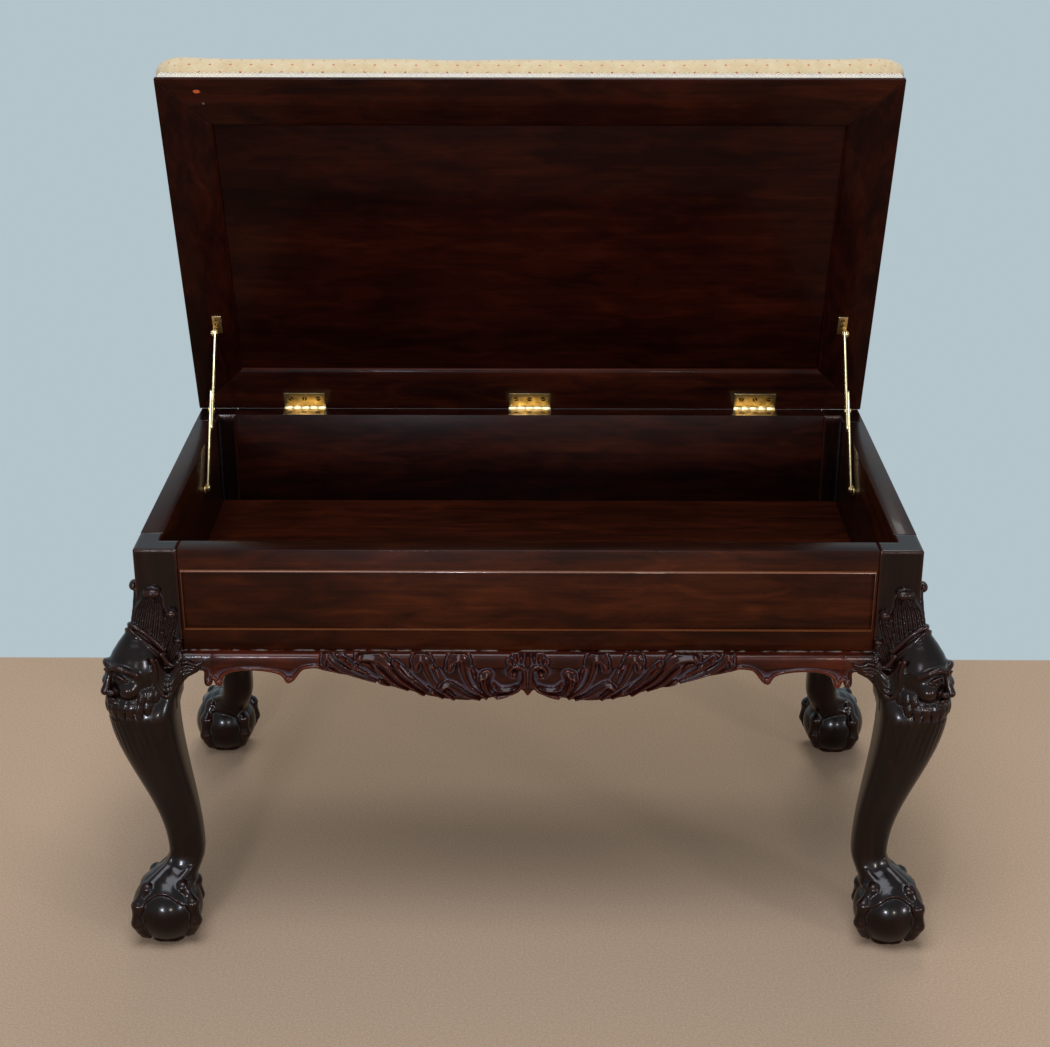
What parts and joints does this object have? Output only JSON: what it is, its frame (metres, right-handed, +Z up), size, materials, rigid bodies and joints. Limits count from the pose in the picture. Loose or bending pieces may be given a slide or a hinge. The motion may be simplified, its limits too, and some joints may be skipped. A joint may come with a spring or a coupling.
{
  "type": "duet stool",
  "caption": "Mahogany box stool with a lift-up upholstered lid on brass hinges and folding stays, storage well, cabriole legs with carved knee masks and claw-and-ball feet.",
  "frame": {"origin": "on the floor under the middle of the case", "axes": "+X to the right along the case, +Y from front to back, +Z up"},
  "size_m": [0.8784, 0.5213, 0.8984],
  "materials": {
    "polished_mahogany": "French-polished dark mahogany, glossy",
    "aged_brass": "aged brass, satin",
    "cream_fabric": "cream woven fabric with small dots",
    "gimp_braid": "woven gimp braid, off-white",
    "stuffing": "hair and wadding stuffing"
  },
  "bodies": {
    "case": {"front_rail": "polished_mahogany", "back_rail": "polished_mahogany", "left_rail": "polished_mahogany", "right_rail": "polished_mahogany", "floor_board": "polished_mahogany", "front_floor_cleat": "polished_mahogany", "back_floor_cleat": "polished_mahogany", "bead_top": "polished_mahogany", "bead_bottom": "polished_mahogany", "bead_left": "polished_mahogany", "bead_right": "polished_mahogany", "front_apron": "polished_mahogany", "back_apron": "polished_mahogany", "left_apron": "polished_mahogany", "right_apron": "polished_mahogany", "front_left_leg": "polished_mahogany", "front_left_face_bracket": "polished_mahogany", "front_left_side_bracket": "polished_mahogany", "front_right_leg": "polished_mahogany", "front_right_face_bracket": "polished_mahogany", "front_right_side_bracket": "polished_mahogany", "back_left_leg": "polished_mahogany", "back_left_face_bracket": "polished_mahogany", "back_left_side_bracket": "polished_mahogany", "back_right_leg": "polished_mahogany", "back_right_face_bracket": "polished_mahogany", "back_right_side_bracket": "polished_mahogany", "left_hinge_case_leaf": "aged_brass", "left_hinge_pin": "aged_brass", "middle_hinge_case_leaf": "aged_brass", "middle_hinge_pin": "aged_brass", "right_hinge_case_leaf": "aged_brass", "right_hinge_pin": "aged_brass", "left_stay_case_bracket": "aged_brass", "right_stay_case_bracket": "aged_brass"},
    "lid": {"lid_front_member": "polished_mahogany", "lid_back_member": "polished_mahogany", "lid_left_member": "polished_mahogany", "lid_right_member": "polished_mahogany", "lid_panel": "polished_mahogany", "left_hinge_lid_leaf": "aged_brass", "middle_hinge_lid_leaf": "aged_brass", "right_hinge_lid_leaf": "aged_brass", "left_stay_lid_bracket": "aged_brass", "right_stay_lid_bracket": "aged_brass", "seat_cover": "cream_fabric", "seat_stuffing": "stuffing", "gimp_braid": "gimp_braid"},
    "left_upper_arm": {"left_stay_upper_arm": "aged_brass", "left_stay_lid_rivet": "aged_brass"},
    "left_lower_arm": {"left_stay_lower_arm": "aged_brass", "left_stay_elbow_rivet": "aged_brass", "left_stay_case_rivet": "aged_brass"},
    "right_upper_arm": {"right_stay_upper_arm": "aged_brass", "right_stay_lid_rivet": "aged_brass"},
    "right_lower_arm": {"right_stay_lower_arm": "aged_brass", "right_stay_elbow_rivet": "aged_brass", "right_stay_case_rivet": "aged_brass"}
  },
  "joints": [
    {"name": "lid_hinge", "type": "hinge", "parent": "case", "child": "lid", "pos_m": [0, 0.2175, 0.4644], "axis": [1, 0, 0], "range_deg": [0, 72.1]},
    {"name": "left_stay_lid_pivot", "type": "hinge", "parent": "lid", "child": "left_upper_arm", "pos_m": [-0.371, 0.17509, 0.5726], "axis": [1, 0, 0], "range_deg": [-0.2, 0.9]},
    {"name": "left_stay_elbow", "type": "hinge", "parent": "left_upper_arm", "child": "left_lower_arm", "pos_m": [-0.371, 0.12405, 0.49455], "axis": [1, 0, 0], "range_deg": [-149.5, 0.5]},
    {"name": "right_stay_lid_pivot", "type": "hinge", "parent": "lid", "child": "right_upper_arm", "pos_m": [0.371, 0.17509, 0.5726], "axis": [1, 0, 0], "range_deg": [-0.2, 0.9]},
    {"name": "right_stay_elbow", "type": "hinge", "parent": "right_upper_arm", "child": "right_lower_arm", "pos_m": [0.371, 0.12405, 0.49455], "axis": [1, 0, 0], "range_deg": [-149.5, 0.5]}
  ],
  "couplings": [
    {"joint": "left_stay_lid_pivot", "follows": "lid_hinge", "ratio": 0.0093444},
    {"joint": "left_stay_elbow", "follows": "lid_hinge", "ratio": -2.0673},
    {"joint": "right_stay_lid_pivot", "follows": "lid_hinge", "ratio": 0.0093444},
    {"joint": "right_stay_elbow", "follows": "lid_hinge", "ratio": -2.0673}
  ]
}
